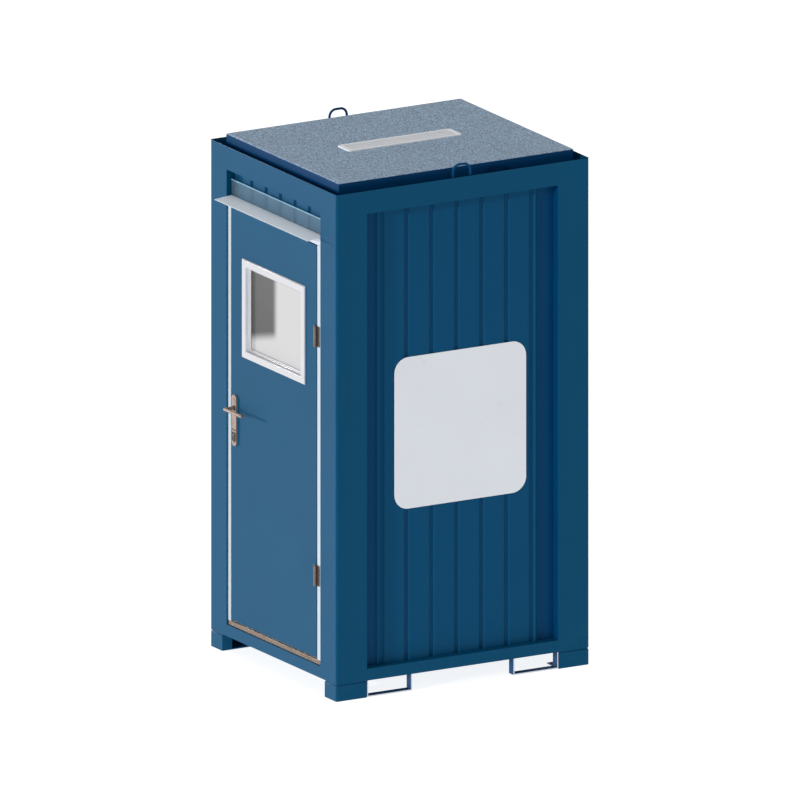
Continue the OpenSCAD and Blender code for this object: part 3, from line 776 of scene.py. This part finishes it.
def add_roof_sealant():
    """A band of sealant on the gutter, round the roof cap's foot."""
    low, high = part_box("roof_panel")
    band = 6 * MM
    bm = bmesh.new()
    rectangle_ring(
        bm, (low.x - band, low.y - band, high.z - CAP_H), (high.x - low.x + 2 * band, 0, 0),
        (0, high.y - low.y + 2 * band, 0), band, (0, 0, 5 * MM)
    )
    finish_mesh(bm, smooth=False)
    piece("roof_sealant", bm, "root", "roof_coat", finish="joint_sealant")


def add_skirting():
    """Skirting along the room's two sides and back."""
    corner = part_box("floor_panel")[1]
    wall_x = corner.x
    inner_x = wall_x - SKIRT_T
    front_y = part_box("jamb_latch_side")[1].y + 1 * MM
    back_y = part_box("wall_back")[0].y
    bottom, top = corner.z, corner.z + SKIRT_H
    bm = bmesh.new()
    bar(bm, (-wall_x, front_y, bottom), (-inner_x, back_y, top), 2 * MM)
    bar(bm, (inner_x, front_y, bottom), (wall_x, back_y, top), 2 * MM)
    bar(bm, (-inner_x, back_y - SKIRT_T, bottom), (inner_x, back_y, top), 2 * MM)
    finish_mesh(bm, smooth=False)
    piece("skirting", bm, "root", "lining_white")


def finish_shell():
    finish_panels()
    finish_floor()
    finish_roof()
    add_roof_sealant()
    add_skirting()


# --- The doorway ----------------------------------------------------------------

SILL_RIDGES = 6
RIDGE_INSET = 30 * MM
RIDGE_HALF_W = 2.5 * MM


def finish_frame_canopy_and_plate():
    """Door frame, sill, canopy with its screen, and the blank plate on the side wall."""
    softened("jamb_latch_side", "door_frame_white", 2 * MM, skip=along(Z))
    softened("jamb_hinge_side", "door_frame_white", 2 * MM, skip=along(Z))
    softened("door_head", "door_frame_white", 2 * MM, skip=along(X))
    softened("door_sill", "sill_metal", 2 * MM, skip=along(X))

    def canopy_rim(normal, middle):
        return normal.y < -0.4 and normal.z < 0.5

    softened("canopy", "canopy_sheet", 0.5 * MM, faces=[("canopy_edge", canopy_rim)])
    softened("canopy_screen", "clear_screen", 0.8 * MM, segments=1)
    softened("blank_plate", "plate_white", 0.8 * MM)


def add_door_seal():
    """A rubber seal on the stops, behind the leaf's rim."""
    low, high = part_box("door_leaf")
    inset = 4 * MM
    bm = bmesh.new()
    rectangle_ring(
        bm, (low.x + inset, high.y + 0.6 * MM, low.z + inset), (high.x - low.x - 2 * inset, 0, 0),
        (0, 0, high.z - low.z - inset), 9 * MM, (0, 4 * MM, 0)
    )
    finish_mesh(bm, smooth=False)
    piece("door_seal", bm, "root", "door_frame_white", finish="rubber_and_slot_shade")


def add_screen_edging():
    """A light strip along the top of the clear screen, painted as the highlight on the screen's top
    edge.
    """
    low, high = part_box("canopy_screen")
    lap = 0.8 * MM
    bm = bmesh.new()
    bar(
        bm, (low.x, low.y - lap, high.z - 5 * MM), (high.x, high.y + lap, high.z + lap), 0.5 * MM
    )
    finish_mesh(bm, smooth=False)
    piece("screen_highlight_strip", bm, "root", "clear_screen", finish="screen_edge_highlight")


def add_sill_ridges():
    low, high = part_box("door_sill")
    bm = bmesh.new()
    for k in range(SILL_RIDGES):
        y = low.y + (k + 0.7) * (high.y - low.y) / SILL_RIDGES
        bar(
            bm, (low.x + RIDGE_INSET, y - RIDGE_HALF_W, high.z - 0.5 * MM),
            (high.x - RIDGE_INSET, y + RIDGE_HALF_W, high.z + 1.6 * MM), 0.8 * MM
        )
    finish_mesh(bm, smooth=False)
    piece("sill_ridges", bm, "root", "sill_metal")


def finish_doorway():
    finish_frame_canopy_and_plate()
    add_door_seal()
    add_screen_edging()
    add_sill_ridges()


# --- The door -------------------------------------------------------------------

ROSETTE = in_mm((9.2, -0.5), (9.2, 3), (10.5, 3.6), (12.5, 2.6), (13.2, -0.5))
LOCK_PLUG = in_mm((0, 0.5), (5.6, 0.5), (6.2, 0.1), (6.2, -0.4), (0, -0.4))
PLATE_SCREW_R = 4.2 * MM
PLATE_SCREW_INSET = 20 * MM
# The lock guard: half the widths of its outline and its opening, and where the bar
# above it starts and ends
GUARD_HALF_W = 17 * MM
GUARD_OPENING = 9 * MM
GUARD_BAR = (8 * MM, 14 * MM)
PLUG_DROP = 8.5 * MM
# Half the key slot's width and height
KEY_SLOT = (0.8 * MM, 4.2 * MM)
HINGE_SCREW_R = 3.6 * MM
HINGE_SCREW_INSET = 7.5 * MM
HINGE_SCREW_SHARES = (0.16, 0.5, 0.84)
FLAP_T = 4 * MM


def finish_door_parts():
    """Leaf, window, handle, lock and hinges."""

    def lock_end(normal, middle):
        return abs(normal.y) > 0.9

    softened("door_leaf", "leaf_paint", 2 * MM)
    # The frame's faces towards the hinge side take the whiter plate finish as painted light, where the
    # lamps light them less
    softened("window_frame", "window_white", 1.8 * MM, faces=[("plate_white", facing(X, 1, 0.8))])
    softened("window_trim", "window_white", 1.8 * MM)
    softened("window_pane", "frosted_pane", 0.8 * MM, segments=1)
    softened("handle_plates", "handle_metal", 2.2 * MM, segments=3)
    softened(
        "lock_cylinder", "lock_metal", 0.8 * MM, rounded=True, faces=[("lock_face", lock_end)]
    )
    softened("door_lever", "handle_metal", 0.5 * MM, segments=1, rounded=True)
    softened("hinge_frame_halves", "hinge_metal", 0.7 * MM, segments=1, rounded=True)
    softened("hinge_leaf_halves", "hinge_metal", 0.7 * MM, segments=1, rounded=True)


def add_window_seals():
    """Rubber round the window frame and round the pane."""
    low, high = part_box("window_frame")
    leaf_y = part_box("door_leaf")[0].y
    grow = 2.5 * MM
    bm = bmesh.new()
    rectangle_ring(
        bm, (low.x - grow, leaf_y + 0.5 * MM, low.z - grow), (high.x - low.x + 2 * grow, 0, 0),
        (0, 0, high.z - low.z + 2 * grow), 6 * MM, (0, -2.3 * MM, 0)
    )
    pane_low, pane_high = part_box("window_pane")
    inset = 9 * MM
    rectangle_ring(
        bm, (pane_low.x + inset, pane_low.y + 0.2 * MM, pane_low.z + inset),
        (pane_high.x - pane_low.x - 2 * inset, 0, 0), (0, 0, pane_high.z - pane_low.z - 2 * inset),
        5.5 * MM, (0, -3.2 * MM, 0)
    )
    finish_mesh(bm, smooth=False)
    piece("window_seals", bm, "door", "window_white", finish="gasket_grey")


def handle_faces():
    """Each handle plate's outer face as (y, way out): the outside first, then the room's."""
    low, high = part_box("handle_plates")
    return (low.y, -1), (high.y, 1)


def handle_x():
    low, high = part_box("handle_plates")
    return (low.x + high.x) / 2


def layer(y, out, start, end):
    """The low and high y of a layer that runs from start to end beyond a face."""
    return sorted((y + out * start, y + out * end))


def add_handle_rings():
    """A rosette round the spindle on each plate."""
    joint = next(j for j in frame["joints"] if j["name"] == "lever_turn")
    spindle = Vector(joint["pos_m"])
    bm = bmesh.new()
    for y, out in handle_faces():
        turned(bm, ROSETTE, (handle_x(), y, spindle.z), (0, out, 0))
    finish_mesh(bm)
    piece("handle_rings", bm, "door", "lock_metal", finish="guard_dark")


def add_lock_guards():
    """A dark frame round the lock on each plate, with a bar above it."""
    low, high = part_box("lock_cylinder")
    bottom, top = low.z - 3 * MM, high.z + 9 * MM
    gap = 0.4 * MM
    bars = (
        (-GUARD_HALF_W, -GUARD_OPENING, bottom, top),
        (GUARD_OPENING, GUARD_HALF_W, bottom, top),
        (-GUARD_OPENING, GUARD_OPENING, bottom, low.z - gap),
        (-GUARD_OPENING, GUARD_OPENING, high.z + gap, top),
        (-GUARD_HALF_W, GUARD_HALF_W, top + GUARD_BAR[0], top + GUARD_BAR[1]),
    )
    bm = bmesh.new()
    for y, out in handle_faces():
        y0, y1 = layer(y, out, -0.5 * MM, 1.6 * MM)
        for x0, x1, z0, z1 in bars:
            bar(bm, (handle_x() + x0, y0, z0), (handle_x() + x1, y1, z1), 0.5 * MM)
    finish_mesh(bm, smooth=False)
    piece("lock_guards", bm, "door", "lock_metal", finish="guard_dark")


def add_handle_screws():
    low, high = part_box("handle_plates")
    bm = bmesh.new()
    for y, out in handle_faces():
        for z in (low.z + PLATE_SCREW_INSET, high.z - PLATE_SCREW_INSET):
            screw(bm, (handle_x(), y, z), (0, out, 0), PLATE_SCREW_R)
    finish_mesh(bm)
    piece("handle_screws", bm, "door", "handle_metal")


def add_lock_plugs():
    """The lock's plug at both ends of its cylinder, each with its key slot: a black sliver of painted
    shade for the dark inside the slot.
    """
    low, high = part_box("lock_cylinder")
    z = high.z - PLUG_DROP
    half_w, half_h = KEY_SLOT
    plugs = bmesh.new()
    slots = bmesh.new()
    for y, out in ((low.y, -1), (high.y, 1)):
        turned(plugs, LOCK_PLUG, (handle_x(), y, z), (0, out, 0), steps=24)
        y0, y1 = layer(y, out, 0.35 * MM, 0.62 * MM)
        low_corner = (handle_x() - half_w, y0, z - half_h)
        high_corner = (handle_x() + half_w, y1, z + half_h)
        bar(slots, low_corner, high_corner, 0.1 * MM)
    finish_mesh(plugs)
    finish_mesh(slots, smooth=False)
    piece("lock_plugs", plugs, "door", "handle_metal", finish="lock_face")
    piece("key_slots", slots, "door", "lock_metal", finish="rubber_and_slot_shade")


def hinge_spans(node):
    """The (bottom, top) of the lower and the upper hinge in a node that holds both."""
    levels = sorted({round(v.co.z, 4) for v in frame["nodes"][node].data.vertices})
    split = max(range(1, len(levels)), key=lambda k: levels[k] - levels[k - 1])
    return (levels[0], levels[split - 1]), (levels[split], levels[-1])


def add_hinge_screws():
    """Three screws through each flap of each hinge."""
    flap_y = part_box("door_leaf")[0].y - FLAP_T
    for node, body in (("hinge_frame_halves", "root"), ("hinge_leaf_halves", "door")):
        low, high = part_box(node)
        x = high.x - HINGE_SCREW_INSET if body == "root" else low.x + HINGE_SCREW_INSET
        bm = bmesh.new()
        for bottom, top in hinge_spans(node):
            for share in HINGE_SCREW_SHARES:
                screw(bm, (x, flap_y, bottom + share * (top - bottom)), FRONT, HINGE_SCREW_R)
        finish_mesh(bm)
        piece(f"{node}_screws", bm, body, "hinge_metal")


def finish_door():
    finish_door_parts()
    add_window_seals()
    add_handle_rings()
    add_lock_guards()
    add_handle_screws()
    add_lock_plugs()
    add_hinge_screws()


# --- Stage ----------------------------------------------------------------------

VIEW_AZIMUTH = math.radians(60)
VIEW_ELEVATION = math.radians(15)
VIEW_HEIGHT = 3.8095
AIM_Z = 1.2573
AIM_BACK = 1.1 * MM
CAMERA_DISTANCE = 14.0

# Each sun's name, azimuth and elevation in degrees, strength, and spread in degrees
SUNS = (
    ("key_light", 12.6, 13, 1.42, 1.5),
    ("side_light", -65, 0.5, 1.75, 1.5),
    ("top_light", 0, 90, 0.45, 20),
)
SUN_DISTANCE = 6
AMBIENT = 0.34
STAGE_HALF_W = 30.0
STAGE_DARK = (0.44, 0.44, 0.44, 1)
STAGE_PALE = (0.46, 0.46, 0.46, 1)
STAGE_GLOW = 0.86
WHITE = (1, 1, 1, 1)


def compass(azimuth, elevation):
    """The direction towards a place seen at that azimuth from the door side, and elevation."""
    flat = math.cos(elevation)
    return Vector((math.sin(azimuth) * flat, -math.cos(azimuth) * flat, math.sin(elevation)))


def set_camera():
    data = bpy.data.cameras.new("camera")
    data.type = "ORTHO"
    data.ortho_scale = VIEW_HEIGHT
    data.clip_end = 100
    camera = bpy.data.objects.new("camera", data)
    bpy.context.scene.collection.objects.link(camera)
    aim_y = (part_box("post_front_right")[0].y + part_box("post_back_right")[1].y) / 2
    toward = compass(VIEW_AZIMUTH, VIEW_ELEVATION)
    camera.location = Vector((0, aim_y + AIM_BACK, AIM_Z)) + CAMERA_DISTANCE * toward
    camera.rotation_euler = (-toward).to_track_quat("-Z", "Y").to_euler()
    bpy.context.scene.camera = camera


def add_sun(name, azimuth, elevation, strength, spread):
    data = bpy.data.lights.new(name, "SUN")
    data.energy = strength
    data.angle = math.radians(spread)
    lamp = bpy.data.objects.new(name, data)
    toward = compass(math.radians(azimuth), math.radians(elevation))
    lamp.rotation_euler = (-toward).to_track_quat("-Z", "Y").to_euler()
    lamp.location = SUN_DISTANCE * toward
    bpy.context.scene.collection.objects.link(lamp)


def set_world():
    """Even ambient light; the camera and reflections see a white backdrop."""
    world = bpy.data.worlds.new("studio")
    bpy.context.scene.world = world
    world.use_nodes = True
    tree = world.node_tree
    background = tree.nodes["Background"]
    background.inputs["Color"].default_value = WHITE
    path = tree.nodes.new("ShaderNodeLightPath")
    seen = path.outputs["Is Camera Ray"]
    for other in ("Is Glossy Ray", "Is Transmission Ray"):
        either = tree.nodes.new("ShaderNodeMath")
        either.operation = "MAXIMUM"
        tree.links.new(seen, either.inputs[0])
        tree.links.new(path.outputs[other], either.inputs[1])
        seen = either.outputs[0]
    level = tree.nodes.new("ShaderNodeMapRange")
    tree.links.new(seen, level.inputs["Value"])
    level.inputs["To Min"].default_value = AMBIENT
    level.inputs["To Max"].default_value = 1.0
    tree.links.new(level.outputs[0], background.inputs["Strength"])


def add_floor():
    """A plain pale floor. Its glow lifts it to white and also lights the cabin from below."""
    bm = bmesh.new()
    bmesh.ops.create_grid(bm, x_segments=1, y_segments=1, size=STAGE_HALF_W)
    mesh = bpy.data.meshes.new("studio_floor")
    bm.to_mesh(mesh)
    bm.free()
    floor = bpy.data.objects.new("studio_floor", mesh)
    bpy.context.scene.collection.objects.link(floor)
    finish = Finish("studio_floor", Specular_IOR_Level=0.0, Roughness=0.9)
    finish.drive("Base Color", finish.blend(finish.noise(0.7), STAGE_DARK, STAGE_PALE))
    finish.shader.inputs["Emission Color"].default_value = WHITE
    finish.shader.inputs["Emission Strength"].default_value = STAGE_GLOW
    mesh.materials.append(finish.material)


def set_stage():
    set_camera()
    add_floor()
    set_world()
    for sun in SUNS:
        add_sun(*sun)
    bpy.context.scene.view_settings.view_transform = "Standard"


set_stage()
finish_steel_frame()
finish_shell()
finish_doorway()
finish_door()
